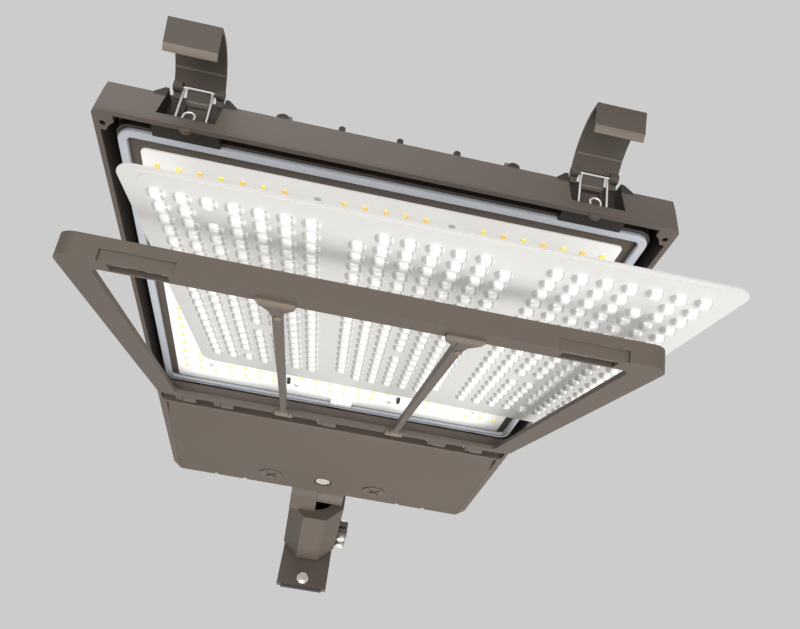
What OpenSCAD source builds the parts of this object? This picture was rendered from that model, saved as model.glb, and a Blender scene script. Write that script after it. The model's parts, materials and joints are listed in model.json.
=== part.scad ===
// Shoebox area light with its door hanging open.
// Drawn with X across, Y from the front rim back to the wall, Z up from the rim plane.
// The whole part is then moved so that its origin is the centre of the wall plate's rear face.

/* [LED board] */
// Distance between neighbouring LEDs
led_pitch = 16; // [14:0.5:18]
// LED columns in one block
block_cols = 7; // [5:2:9]
// LED rows, front to back
led_rows = 20; // [16:1:22]
// Gap between neighbouring blocks, LED centre to LED centre
block_gap = 29.6; // [26:0.2:36]
// Side of one LED chip
chip_w = 3.5; // [2:0.1:5]
// Height of one LED chip
chip_h = 1; // [0.6:0.1:1.4]
// Thickness of the board
board_t = 1.6; // [1:0.1:3]
// Board edge beyond the outer LED columns
board_side = 10.9; // [8:0.1:14]
// Board edge in front of the first LED row
board_front = 14.6; // [12:0.1:18]
// Board edge behind the last LED row
board_rear = 24.9; // [20:0.1:30]
// Height of the board's lower face above the rim plane
board_z = 9.6; // [9:0.1:14]
// Corner radius of the board
board_r = 4; // [2:1:16]

/* [Gasket] */
// Width of the gasket bead
bead_w = 7; // [5:0.5:8]
// Depth of the gasket bead below the deck
bead_h = 4.7; // [3:0.1:6]
// Deck between board and gasket at the sides
side_ledge = 7.5; // [5:0.5:10]
// Deck between board and gasket at the front
front_ledge = 11; // [8:0.5:14]
// Deck between board and gasket at the rear
rear_ledge = 2; // [1:0.5:5]

/* [Housing] */
// Thickness of the cast walls
wall_t = 4; // [3:0.5:5]
// Height of the pan walls
wall_h = 34; // [30:1:40]
// Thickness of the deck that carries the board
deck_t = 6; // [4:0.5:8]
// Open channel between side wall and gasket
side_channel = 7; // [6:0.5:10]
// Open channel between front wall and gasket
front_channel = 17; // [15:0.5:20]
// Length of the hinge trough behind the gasket
trough_l = 48.5; // [46:0.5:56]
// Lean of the front wall over its height
front_lean = 5; // [3:0.5:8]
// Corner radius of the rim
rim_r = 5; // [3:0.5:8]
// Distance between the main ribs on top
rib_pitch = 43; // [38:1:48]
// Height of the main ribs above the rim plane
rib_h = 43; // [40:1:50]
// Width of a narrow rib
rib_t = 4; // [3:0.5:6]
// Width of a wide rib
wide_rib_t = 11; // [8:0.5:14]
// Width of the low fins between ribs
fin_t = 2.5; // [2:0.5:4]

/* [Driver box] */
// Length of the driver box
box_l = 214; // [190:2:240]
// Height of the driver box above the rim plane
box_h = 75; // [66:1:90]
// Width of the side rim beside the cover
box_rim = 8; // [7:0.5:12]
// Length of the tapered rear end
nose_l = 23; // [16:1:30]
// Length of the sloped strip at the cover's front
strip_l = 38; // [30:1:46]
// Rise of that strip
strip_rise = 5; // [3:0.5:7]
// Thickness of the cover
cover_t = 3; // [2:0.5:4]
// Thickness of the cover gasket
seal_t = 1.5; // [1:0.5:2.5]
// Radius of the two round plugs
plug_r = 16; // [12:0.5:18]
// Distance of the plugs from the middle
plug_x = 73; // [60:1:90]
// Radius of the cover screw's head
cover_screw_r = 10; // [8:0.5:11]
// Distance of the cover screw from the rear edge
cover_screw_in = 38; // [32:1:44]

/* [Door] */
// Thickness of the door at its outer wall
door_t = 16; // [14:0.5:20]
// Thickness of the door's flange and walls
door_wall = 4; // [3:0.5:5]
// Width of the front bar
front_bar = 18; // [16:0.5:24]
// Width of the side bars
side_bar = 21; // [18:0.5:26]
// Width of the rear bar
rear_bar = 18; // [16:0.5:24]
// Corner radius at the front of the door
door_r = 14; // [12:0.5:18]
// Door edge outside the gasket at the sides
door_side_over = 3; // [2:0.5:4]
// Door edge in front of the gasket
door_front_over = 13; // [11:0.5:14]
// Depth of the closed door's face below the rim plane
door_drop = 9; // [8:0.5:11]
// Angle at which the door hangs open
door_open = 14.2; // [13:0.1:15]
// Distance of the hinge axis behind the door
hinge_back = 14; // [12:0.5:16]
// Depth of the hinge axis below the rim plane
hinge_drop = 5; // [4:0.5:7]
// Radius of the hinge pins
hinge_pin_r = 2; // [1.5:0.1:2.5]
// Width of a door hook
hook_w = 7; // [5:0.5:8]
// Width of a hinge tab on the housing
hinge_tab_w = 14.5; // [12:0.5:16]

/* [Mullions] */
// Width of a mullion's bar
mullion_w = 9.5; // [7:0.5:12]
// Depth of a mullion's bar
mullion_h = 9; // [7:0.5:10]
// Width of the front clip
clip_w = 23; // [18:0.5:28]
// Thickness of the clips under the door
clip_t = 3.5; // [2.5:0.5:5]

/* [Lens plate] */
// Thickness of the lens plate
lens_t = 2; // [1.6:0.1:3]
// Height of one lens
lens_h = 4; // [3:0.2:5]
// Radius of one lens at the plate
lens_r = 6.3; // [5:0.1:6.6]
// Radius of one lens at its tip
lens_tip_r = 3.6; // [2.5:0.1:4.5]
// Plate edge beyond the outer lens columns
lens_side = 21.5; // [18:0.5:26]
// Plate edge in front of the first lens row
lens_front = 26; // [24:0.5:34]
// Plate edge behind the last lens row
lens_rear = 46; // [36:0.5:48]
// Shift of the lens field to the right
lens_shift_x = 35.6; // [30:0.1:38]
// Shift of the lens field's middle forward of the LED field's middle
lens_shift_y = 72; // [68:0.5:80]
// Depth of the lens field's middle below the rim plane
lens_drop = 40.9; // [40.9:0.1:46]

/* [Latches] */
// Distance of a latch from the middle
latch_x = 148.5; // [140:0.5:156]
// Width of a latch cover
latch_w = 36.2; // [34:0.2:42]
// Drop of the cover's hook below its pivot when closed
latch_l = 51; // [48:0.5:56]
// Thickness of the cover
latch_t = 2.5; // [2:0.1:3]
// Length of the cover's end flange
latch_flange = 14.5; // [13:0.5:18]
// Radius of the bail wire
wire_r = 1; // [0.8:0.1:1.2]
// Angle of the left cover from closed
latch_open_left = 92; // [84:0.5:100]
// Angle of the right cover from closed
latch_open_right = 106; // [92:0.5:112]

/* [Slipfitter] */
// Width of the slipfitter
knuckle_w = 84; // [78:1:90]
// Radius of the pivot barrel
barrel_r = 30; // [28:0.5:32]
// Distance of the barrel behind the driver box
barrel_back = 46; // [40:1:56]
// Height of the barrel above the rim plane
barrel_z = 32; // [30:0.5:36]
// Length of the slipfitter from barrel to mouth
slip_l = 168; // [150:1:180]
// Outside diameter of the tenon
tenon_d = 60.3; // [58:0.1:62]
// Wall of the tenon
tenon_wall = 3.9; // [3:0.1:5]
// Droop of the tenon's axis
tenon_droop = 12; // [8:0.5:14]
// Width of the wall plate
plate_w = 80; // [76:1:90]
// Height of the wall plate
plate_h = 116; // [110:1:130]
// Thickness of the wall plate
plate_t = 8; // [6:0.5:10]
// Top of the wall plate above the tenon's axis
plate_top = 30; // [26:1:34]
// Gap between slipfitter mouth and wall plate
plate_gap = 8; // [4:0.5:14]
// Pitch circle of the two wall bolts
wall_pcd = 88; // [84:1:92]
// Radius of a wall bolt
wall_bolt_r = 5; // [4:0.5:6]
// Length of a wall bolt behind the plate
wall_stud_l = 25; // [15:1:40]

/* [Hidden] */
$fn = 48;

// Overrun of a cut, running clearance of a pin, and free gap between moving neighbours
over = 1;
run = 0.05;
gap = 0.3;

// LED field and board
blocks = 3;
block_w = (block_cols - 1) * led_pitch;
field_w = blocks * block_w + (blocks - 1) * block_gap;
field_l = (led_rows - 1) * led_pitch;
board_w = field_w + 2 * board_side;
board_l = field_l + board_front + board_rear;
board_y = wall_t + front_channel + bead_w + front_ledge;
board_top = board_z + board_t;
row_y = board_y + board_front;
mullion_x = (block_w + block_gap) / 2;

// Grid spots without an LED or a lens, as block, column and row, on the left and mirrored
last_col = block_cols - 1;
last_row = led_rows - 1;
third_col = floor(block_cols / 3);
middle_col = floor(block_cols / 2);
middle_row = floor(0.67 * led_rows);
screw_spots = [[-1, third_col, 1], [-1, third_col, last_row - 1], [-1, middle_col, middle_row], [0, 0, 0],
    [0, 0, last_row]];
left_spots = concat(screw_spots, [[-1, middle_col + 1, middle_row], [0, middle_col, middle_row]]);
bare_spots = concat(left_spots, [for (p = left_spots) [-p[0], last_col - p[1], p[2]]]);

// Gasket, deck and pan
bead_x = board_w / 2 + side_ledge;
bead_y0 = board_y - front_ledge;
bead_y1 = board_y + board_l + rear_ledge;
deck_lip = 1.5;
deck_x = bead_x + bead_w + deck_lip;
deck_y0 = bead_y0 - bead_w - deck_lip;
deck_y1 = bead_y1 + bead_w + deck_lip;
deck_r = board_r + side_ledge;
pan_x = bead_x + bead_w + side_channel + wall_t;
pan_l = bead_y1 + bead_w + trough_l;
roof_t = 4;
rib_end_h = 39;
edge_rail_h = 2.5;
edge_rail_w = 6;
gusset_w = 10;
gusset_l = 14;
gusset_h = 6;
gusset_hole_r = 2.1;
gusset_hole_in = 2.5;
gusset_hole_back = 8;

// Driver box
box_front = pan_l - wall_t;
box_back = pan_l + box_l;
cover_x = pan_x - box_rim;
nose_x = cover_x;
box_slope = 16;
box_bevel = 14;
box_wall = 6;
seal_lap = 1;
cavity_x = cover_x - box_wall - seal_lap;
cavity_y0 = pan_l + box_wall;
cavity_y1 = box_back - box_rim;
box_ceiling = box_h - wall_t;
strip_y = pan_l + strip_l;
cover_front_gap = 1.8;
cover_y0 = pan_l + cover_front_gap;
cover_pin_r = 1.5;
cover_pin_l = 4;
cover_pin_y = cover_y0 + cover_pin_r;
cover_pin_z = strip_rise + cover_t / 2;
cover_screw_y = box_back - cover_screw_in;
screw_cup_gap = 2.5;
screw_cup_r = cover_screw_r + screw_cup_gap;
screw_cup_h = 4;
screw_boss_t = 3;
screw_shank_r = 4;
screw_shank_l = 14;
post_r = 9;
post_hole_r = 5.4;
notch_w = 5;
notch_l = 7;
notch_shares = [-0.75, -0.545, 0.56, 0.75];
notch_xs = notch_shares * cover_x;

// Door
door_x = bead_x + bead_w + door_side_over;
door_y0 = bead_y0 - bead_w - door_front_over;
door_y1 = bead_y1 + bead_w + deck_lip / 3;
door_z0 = -door_drop;
door_z1 = door_z0 + door_t;
hinge_y = door_y1 + hinge_back;
hinge_z = -hinge_drop;
hinge_shares = [-0.862, -0.657, -0.09, 0.533, 0.743];
hinge_xs = hinge_shares * pan_x;
hook_eye_r = 5;
opening_x = door_x - side_bar;
opening_y0 = door_y0 + front_bar;
opening_y1 = door_y1 - rear_bar;
door_recess_w = 48;
door_recess_t = 2;
door_slot_w = 38;
door_slot_l = 11;
door_web = 3;

// Lens plate
lens_turn = [12.6, 1.35, -1.46];
lens_y = row_y + field_l / 2 - lens_shift_y;
lens_corner_r = 14;
lens_step = 0.8;
lens_step_side = 10;
lens_step_end = 4;

// Latches
pocket_x = latch_w / 2 + 2.2;
pocket_l = 17;
pocket_base = 6;
pocket_lip = 9;
guard_h = 47;
pocket_wall = 3.5;
hump_h = 40;
hump_w = 9;
hump_flat = 2.5;
bail_y = 13;
bail_z = 12;
pivot_y = 5;
pivot_z = 44;
bail_x = 11;
bail_top_x = 10.3;
boss_l = 6.5;
boss_r = 4;
lug_w = 3;
lug_x = 6;
bow_out = 8;
bow_r = (latch_l ^ 2 / 4 + bow_out ^ 2) / (2 * bow_out);
flange_turn = asin(latch_l / 2 / bow_r);
hook_l = 5;
hook_turn = 25;
tab_r = 4.6;
tab_x = 2.7;

// Slipfitter
slip_wall = 10;
split_x = -2.5;
barrel_y = box_back + barrel_back;
slip_y0 = barrel_r + 8;
bore_r = tenon_d / 2 + gap;
plate_y0 = slip_l + plate_gap;
plate_y1 = plate_y0 + plate_t;
plate_mid = plate_top - plate_h / 2;
arm_flange_w = 92;
arm_flange_h = 56;
arm_flange_t = 8;
arm_bolt_x = 36;
pivot_r = 6;
washer_t = 1;
liner_t = 2;
clamp_l = 44;
clamp_w = 16;
clamp_t = 9;
clamp_gap = 4;
set_bolt_r = 4;
wall_waist_r = wall_bolt_r - 2 * gap;
set_head_r = 6.5;
set_head_h = 6;
set_pitch = 22;
origin_y = barrel_y + plate_y1 * cos(tenon_droop) + plate_mid * sin(tenon_droop);
origin_z = barrel_z - plate_y1 * sin(tenon_droop) + plate_mid * cos(tenon_droop);

bronze = [0.40, 0.36, 0.32];
dark_bronze = [0.27, 0.24, 0.21];
steel = [0.75, 0.75, 0.74];

// Places and outlines shared by many pieces
module placed() {
    translate([0, -origin_y, -origin_z]) children();
}

module door_placed() {
    translate([0, hinge_y, hinge_z]) rotate([door_open, 0, 0]) translate([0, -hinge_y, -hinge_z]) children();
}

module bracket_placed() {
    translate([0, barrel_y, barrel_z]) rotate([-tenon_droop, 0, 0]) children();
}

module round_rect(x0, y0, x1, y1, r) {
    translate([x0 + r, y0]) square([x1 - x0 - 2 * r, y1 - y0]);
    translate([x0, y0 + r]) square([x1 - x0, y1 - y0 - 2 * r]);
    for (x = [x0 + r, x1 - r], y = [y0 + r, y1 - r])
        translate([x, y]) circle(r);
}

module slab(half, y0, y1, r, z0, z1) {
    translate([0, 0, z0]) linear_extrude(z1 - z0) round_rect(-half, y0, half, y1, r);
}

// An outline in Y and Z, drawn along X from x0 to x1
module across(x0, x1) {
    translate([x0, 0, 0]) rotate([90, 0, 90]) linear_extrude(x1 - x0) children();
}

// A round bar along X from x0 to x1
module bar_x(x0, x1, y, z, r, $fn = $fn) {
    translate([x0, y, z]) rotate([0, 90, 0]) cylinder(x1 - x0, r, r);
}

module block(x0, x1, y0, y1, z0, z1) {
    translate([x0, y0, z0]) cube([x1 - x0, y1 - y0, z1 - z0]);
}

// A round bar between two points
module rod(a, b, r) {
    d = b - a;
    translate(a) rotate([0, acos(d[2] / norm(d)), atan2(d[1], d[0])]) cylinder(norm(d), r, r);
}

// Height of the cover's lower face on its sloped strip
function strip_z(y) = strip_rise * (strip_y - y) / (strip_y - cover_y0);

// Place of a grid spot, given as block, column and row
function spot_x(p) = p[0] * (block_w + block_gap) - block_w / 2 + p[1] * led_pitch;
function spot_y(p) = p[2] * led_pitch;

function lit_spots() = [for (b = [-1, 0, 1], c = [0:last_col], r = [0:last_row])
    if (len([for (p = bare_spots) if (p == [b, c, r]) p]) == 0) [b, c, r]];

// Radius of the round end of a rib over the front wall
function rib_end_r(t) = 1.2 + 0.3 * t;

// Housing
module ribs() {
    rib_n = floor((pan_x - wide_rib_t) / rib_pitch);
    for (i = [-rib_n:rib_n]) {
        t = abs(i) == 2 ? wide_rib_t : rib_t;
        across(i * rib_pitch - t / 2, i * rib_pitch + t / 2)
            polygon([[front_lean, wall_h - roof_t], [2 * front_lean, rib_h], [box_front + over, rib_h],
                [box_front + over, wall_h - roof_t], [deck_y1 - over, wall_h - roof_t],
                [deck_y1 - over, board_top + deck_t - over], [deck_y0 + over, board_top + deck_t - over],
                [deck_y0 + over, wall_h - roof_t]]);
        translate([i * rib_pitch, front_lean, rib_end_h - rib_end_r(t)]) rotate([-90, 0, 0])
            cylinder(2 * front_lean, rib_end_r(t), rib_end_r(t));
        block(i * rib_pitch - rib_end_r(t), i * rib_pitch + rib_end_r(t), front_lean, 3 * front_lean,
            wall_h - over, rib_end_h - rib_end_r(t));
    }
    for (i = [-rib_n:rib_n - 1], s = [1, 2])
        block((i + s / 3) * rib_pitch - fin_t / 2, (i + s / 3) * rib_pitch + fin_t / 2,
            deck_y0 + over, deck_y1 - over, board_top + deck_t - over, wall_h);
}

module latch_pocket_block() {
    block(-pocket_x - pocket_wall, pocket_x + pocket_wall, wall_t - over, pocket_l + pocket_wall,
        pocket_base, pocket_lip);
    block(-pocket_x - pocket_wall, pocket_x + pocket_wall, front_lean, pocket_l + pocket_wall,
        pocket_base, wall_h);
    block(-pocket_x - pocket_wall, pocket_x + pocket_wall, pocket_l, pocket_l + pocket_wall,
        wall_h - over, guard_h);
    for (s = [-1, 1])
        translate([0, pocket_l + pocket_wall, 0]) rotate([90, 0, 0]) linear_extrude(pocket_l - over)
            polygon([[s * pocket_x, wall_h - roof_t], [s * pocket_x, hump_h],
                [s * (pocket_x + hump_flat), hump_h], [s * (pocket_x + hump_w), wall_h],
                [s * (pocket_x + hump_w), wall_h - roof_t]]);
}

module latch_pocket_cut() {
    block(-pocket_x, pocket_x, -over, pocket_l, pocket_lip, guard_h + over);
}

module latch_pocket_fittings() {
    for (s = [-1, 1])
        difference() {
            block(s * (lug_x + lug_w / 2) - lug_w / 2, s * (lug_x + lug_w / 2) + lug_w / 2,
                bail_y - lug_w, pocket_l + over, pocket_lip - over, bail_z + lug_w);
            bar_x(-latch_w, latch_w, bail_y, bail_z, wire_r + run);
        }
}

module pan() {
    difference() {
        intersection() {
            slab(pan_x, 0, pan_l, rim_r, 0, wall_h);
            across(-pan_x, pan_x) polygon([[0, 0], [0, wall_t], [front_lean, wall_h], [pan_l, wall_h],
                [pan_l, 0]]);
        }
        slab(pan_x - wall_t, wall_t, box_front, rim_r, -over, board_top);
        difference() {
            slab(pan_x - wall_t, wall_t, box_front, rim_r, -over, wall_h - roof_t);
            slab(deck_x, deck_y0, deck_y1, deck_r, -2 * over, wall_h);
            across(-pan_x, pan_x) polygon([[0, board_top], [wall_t, board_top], [wall_t + front_lean, wall_h],
                [0, wall_h]]);
        }
        slab(deck_x - wall_t, deck_y0 + wall_t, deck_y1 - wall_t, deck_r, board_top + deck_t, wall_h + over);
    }
    for (s = [-1, 1])
        translate([s * (pan_x - edge_rail_w / 2), 0, 0])
            block(-edge_rail_w / 2, edge_rail_w / 2, 2 * front_lean, box_front, wall_h - over,
                wall_h + edge_rail_h);
}

module gussets() {
    for (s = [-1, 1])
        difference() {
            block(s * (pan_x - wall_t - gusset_w / 2) - gusset_w / 2 - over / 2,
                s * (pan_x - wall_t - gusset_w / 2) + gusset_w / 2 + over / 2,
                wall_t - over, wall_t + gusset_l, 0, gusset_h);
            translate([s * (door_x - door_r), door_y0 + door_r, -over])
                cylinder(gusset_h + 2 * over, door_r + gap, door_r + gap);
            translate([s * (pan_x - wall_t - gusset_hole_in), wall_t + gusset_hole_back, -over])
                cylinder(gusset_h + 2 * over, gusset_hole_r, gusset_hole_r);
        }
}

module driver_box() {
    ledge_z = cover_t + seal_t;
    difference() {
        intersection() {
            linear_extrude(box_h) polygon([[-pan_x, box_front], [pan_x, box_front],
                [pan_x, box_back - nose_l], [nose_x, box_back], [-nose_x, box_back],
                [-pan_x, box_back - nose_l]]);
            across(-pan_x, pan_x) polygon([[box_front, 0], [box_front, wall_h],
                [box_front + box_slope, box_h], [box_back - box_bevel, box_h],
                [box_back, box_h - box_bevel], [box_back, 0]]);
        }
        across(-cavity_x, cavity_x) polygon([[cavity_y0, -over], [cavity_y0, wall_h],
            [cavity_y0 + box_slope, box_ceiling], [cavity_y1 - box_bevel, box_ceiling],
            [cavity_y1, box_h - box_bevel - wall_t], [cavity_y1, -over]]);
        across(-cover_x - gap, cover_x + gap) polygon([[box_front - over, -over],
            [box_front - over, strip_rise], [pan_l, strip_rise], [pan_l, strip_z(pan_l) + ledge_z],
            [strip_y, ledge_z], [box_back + over, ledge_z], [box_back + over, -over]]);
        bar_x(-cover_x - cover_pin_l - gap, cover_x + cover_pin_l + gap, cover_pin_y, cover_pin_z,
            cover_pin_r + run);
        for (s = [-1, 1]) translate([s * arm_bolt_x, box_back + over, barrel_z]) rotate([90, 0, 0])
            cylinder(box_rim + 2 * over, wall_bolt_r + run, wall_bolt_r + run);
    }
    difference() {
        translate([0, cover_screw_y, screw_cup_h + 2 * screw_boss_t])
            cylinder(box_ceiling - screw_cup_h - screw_boss_t, post_r, post_r);
        translate([0, cover_screw_y, 0]) cylinder(2 * screw_shank_l, post_hole_r, post_hole_r);
    }
}

module hinge_tabs() {
    for (x = hinge_xs)
        difference() {
            block(x + hook_w / 2 + gap, x + hook_w / 2 + gap + hinge_tab_w, hinge_y - hook_eye_r,
                hinge_y + hook_eye_r, hinge_z - hook_eye_r + over, wall_h - roof_t + over);
            bar_x(x, x + hook_w + hinge_tab_w, hinge_y, hinge_z, hinge_pin_r);
        }
}

module housing() {
    color(bronze) placed() {
        difference() {
            union() {
                pan();
                ribs();
                for (s = [-1, 1]) translate([s * latch_x, 0, 0]) latch_pocket_block();
            }
            for (s = [-1, 1]) translate([s * latch_x, 0, 0]) latch_pocket_cut();
        }
        for (s = [-1, 1]) translate([s * latch_x, 0, 0]) {
            latch_pocket_fittings();
            translate([-s * tab_x, over, over]) rotate([-90, 0, 0]) cylinder(wall_t - over, tab_r, tab_r);
        }
        gussets();
        driver_box();
        hinge_tabs();
    }
}

// LED board and what is on it
board_screw_out = 4.4;
board_screw_places = concat([[0, row_y + spot_y([0, 0, middle_row])]], [for (s = [-1, 1], p = screw_spots)
    [s * (board_screw_out - spot_x(p)), row_y + spot_y(p) + abs(p[0]) * board_screw_out]]);
board_screw_r = 2.5;
board_screw_h = 1.4;
board_hole_r = 1.6;

module led_board() {
    color([0.93, 0.93, 0.91]) placed() difference() {
        slab(board_w / 2, board_y, board_y + board_l, board_r, board_z, board_top);
        for (p = board_screw_places) translate([p[0], p[1], board_z - over])
            cylinder(board_t + 2 * over, board_hole_r, board_hole_r);
    }
}

module led_chips() {
    color([1.0, 0.82, 0.35]) placed()
        for (p = lit_spots())
            translate([spot_x(p) - chip_w / 2, row_y + spot_y(p) - chip_w / 2, board_z - chip_h])
                cube([chip_w, chip_w, chip_h]);
}

module board_screws() {
    color(steel) placed()
        for (p = board_screw_places) translate([p[0], p[1], 0]) {
            translate([0, 0, board_z - board_screw_h]) cylinder(board_screw_h, board_screw_r, board_screw_r);
            translate([0, 0, board_z - over]) cylinder(board_t + over, board_hole_r - run, board_hole_r - run);
        }
}

connector_x = 61.4;
connector_y = row_y + spot_y([0, 0, last_row]) - 0.6 * led_pitch;
connector_size = [3.6, 8, 4];
plug_size = [24, 6, 5];
contact_w = 2;

module board_connectors() {
    color([0.08, 0.08, 0.08]) placed()
        for (s = [-1, 1])
            translate([s * connector_x - connector_size[0] / 2, connector_y - connector_size[1] / 2,
                board_z - connector_size[2]]) cube(connector_size);
}

module wire_connector() {
    color([0.95, 0.95, 0.93]) placed()
        translate([0, board_y + board_l - plug_size[1] - contact_w / 2, board_z - plug_size[2]])
            translate([-plug_size[0] / 2, 0, 0]) difference() {
                cube(plug_size);
                for (i = [1:3])
                    translate([i * plug_size[0] / 4 - contact_w / 2, plug_size[1] / 5, -over])
                        cube([contact_w, 0.6 * plug_size[1], contact_w / 2 + over]);
            }
}

module gasket() {
    color([0.66, 0.70, 0.74]) placed() difference() {
        slab(bead_x + bead_w, bead_y0 - bead_w, bead_y1 + bead_w, deck_r, board_top - bead_h, board_top);
        slab(bead_x, bead_y0, bead_y1, deck_r - bead_w, board_top - bead_h - over, board_top + over);
    }
}

// Driver box contents
driver_size = [210, 64, 38];
driver_foot = 12;
bay_front = 24;
bay_side = 3;
bay_gap = 18;
driver_at = [driver_foot + bay_side - cavity_x, cavity_y0 + box_slope + bay_front];
foot_t = 3;
surge_size = [66, 42, 30];
surge_at = [driver_at[0] + driver_size[0] + driver_foot + bay_gap, driver_at[1]];
terminal_size = [54, 24, 22];
terminal_at = [surge_at[0] + surge_size[0] / 2, surge_at[1] + surge_size[1] + bay_gap];

module led_driver() {
    color([0.85, 0.85, 0.84]) placed() {
        translate([driver_at[0], driver_at[1], box_ceiling - driver_size[2]]) cube(driver_size);
        translate([driver_at[0] - driver_foot, driver_at[1], box_ceiling - foot_t]) difference() {
            cube([driver_size[0] + 2 * driver_foot, driver_size[1], foot_t]);
            for (x = [driver_foot / 2, driver_size[0] + 1.5 * driver_foot], y = [0.25, 0.75])
                translate([x, y * driver_size[1], -over])
                    cylinder(foot_t + 2 * over, board_screw_r, board_screw_r);
        }
    }
}

module driver_screws() {
    color(steel) placed()
        for (x = [-driver_foot / 2, driver_size[0] + driver_foot / 2], y = [0.25, 0.75])
            translate([driver_at[0] + x, driver_at[1] + y * driver_size[1], 0]) {
                translate([0, 0, box_ceiling - foot_t - board_screw_r])
                    cylinder(board_screw_r, 2 * board_screw_r, 2 * board_screw_r);
                translate([0, 0, box_ceiling - foot_t - over])
                    cylinder(foot_t + over, board_screw_r - run, board_screw_r - run);
            }
}

module surge_protector() {
    color([0.12, 0.12, 0.13]) placed()
        translate([surge_at[0], surge_at[1], box_ceiling - surge_size[2]]) cube(surge_size);
}

module terminal_block() {
    color([0.9, 0.9, 0.86]) placed()
        translate([terminal_at[0], terminal_at[1], box_ceiling - terminal_size[2]]) difference() {
            cube(terminal_size);
            for (i = [0.2, 0.5, 0.8])
                translate([i * terminal_size[0], terminal_size[1] / 2, -over])
                    cylinder(terminal_size[2] / 2, board_screw_r, board_screw_r);
        }
}

// Driver cover
module cover_profile(lift, depth) {
    polygon([[cover_y0, strip_rise + lift], [strip_y, lift], [box_back, lift],
        [box_back, lift + depth], [strip_y, lift + depth], [cover_y0, strip_rise + lift + depth]]);
}

module driver_cover() {
    color(bronze) placed() {
        difference() {
            union() {
                across(-cover_x, cover_x) cover_profile(0, cover_t);
                translate([0, cover_screw_y, 0])
                    cylinder(screw_cup_h + screw_boss_t, screw_cup_r + cover_t, screw_cup_r + cover_t);
                for (s = [-1, 1]) translate([s * plug_x, cover_screw_y, 0])
                    cylinder(2 * cover_t, plug_r + cover_t, plug_r + cover_t);
            }
            translate([0, cover_screw_y, -over]) cylinder(screw_cup_h + over, screw_cup_r, screw_cup_r);
            translate([0, cover_screw_y, 0])
                cylinder(2 * screw_cup_h, screw_shank_r + run, screw_shank_r + run);
            for (s = [-1, 1]) translate([s * plug_x, cover_screw_y, -over])
                cylinder(2 * cover_t + 2 * over, plug_r, plug_r);
            for (x = notch_xs)
                block(x - notch_w / 2, x + notch_w / 2, box_back - notch_l, box_back + over, -over, cover_t / 2);
        }
        for (s = [-1, 1])
            bar_x(s > 0 ? cover_x - over : -cover_x - cover_pin_l, s > 0 ? cover_x + cover_pin_l : -cover_x + over,
                cover_pin_y, cover_pin_z, cover_pin_r);
    }
}

module cover_gasket() {
    edge = 2;
    color([0.1, 0.1, 0.1]) placed() difference() {
        across(-cover_x + edge, cover_x - edge) polygon([[strip_y, cover_t], [box_back - edge, cover_t],
            [box_back - edge, cover_t + seal_t], [strip_y, cover_t + seal_t],
            [pan_l + 2 * edge, strip_z(pan_l + 2 * edge) + cover_t + seal_t],
            [pan_l + 2 * edge, strip_z(pan_l + 2 * edge) + cover_t]]);
        block(-cavity_x, cavity_x, cavity_y0, cavity_y1, 0, box_h);
    }
}

module cover_plugs() {
    rim_h = 1.5;
    cross_w = 3.5;
    cross_l = 22;
    color(bronze) placed()
        for (s = [-1, 1])
            translate([s * plug_x, cover_screw_y, 0]) difference() {
                translate([0, 0, -rim_h]) cylinder(rim_h + 2 * cover_t, plug_r - run, plug_r - run);
                for (a = [45, 135])
                    rotate([0, 0, a]) translate([-cross_l / 2, -cross_w / 2, -rim_h - over])
                        cube([cross_l, cross_w, over + 2 * rim_h]);
            }
}

module cover_screw() {
    head_h = 3;
    slot_w = 2.4;
    color(steel) placed() translate([0, cover_screw_y, 0]) {
        difference() {
            translate([0, 0, screw_cup_h - head_h]) cylinder(head_h, cover_screw_r, cover_screw_r);
            rotate([0, 0, 40]) translate([-cover_screw_r - over, -slot_w / 2, screw_cup_h - head_h - over])
                cube([2 * cover_screw_r + 2 * over, slot_w, over + head_h / 2]);
        }
        translate([0, 0, screw_cup_h - over]) cylinder(screw_shank_l + over, screw_shank_r, screw_shank_r);
    }
}

// Door
module door_outline(inset) {
    round_rect(-door_x + inset, door_y0 + inset, door_x - inset, door_y1 - inset, door_r - inset);
}

module door_frame() {
    color(bronze) placed() door_placed() {
        difference() {
            translate([0, 0, door_z0]) linear_extrude(door_t) door_outline(0);
            translate([0, 0, door_z0 + door_wall]) linear_extrude(door_t) door_outline(door_wall);
            slab(opening_x, opening_y0, opening_y1, door_r / 2, door_z0 - over, door_z0 + door_wall + over);
            for (s = [-1, 1]) translate([s * latch_x, 0, 0]) {
                block(-door_recess_w / 2, door_recess_w / 2, door_y0 - over, door_y0 + door_recess_t,
                    door_z0 - over, door_z0 + door_t / 2);
                block(-door_slot_w / 2, door_slot_w / 2, door_y0 + door_recess_t + door_web,
                    door_y0 + door_recess_t + door_web + door_slot_l, door_z0 - over, door_z0 + door_wall + over);
            }
        }
        for (x = hinge_xs)
            difference() {
                union() {
                    block(x - hook_w / 2, x + hook_w / 2, door_y1 - over, hinge_y, door_z0, hinge_z + hook_eye_r);
                    bar_x(x - hook_w / 2, x + hook_w / 2, hinge_y, hinge_z, hook_eye_r);
                }
                bar_x(x - hook_w, x + hook_w, hinge_y, hinge_z, hinge_pin_r + run);
            }
    }
}

module hinge_pins() {
    color(steel) placed()
        for (x = hinge_xs)
            bar_x(x - hook_w / 2 - over, x + hook_w / 2 + gap + hinge_tab_w, hinge_y, hinge_z, hinge_pin_r);
}

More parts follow.
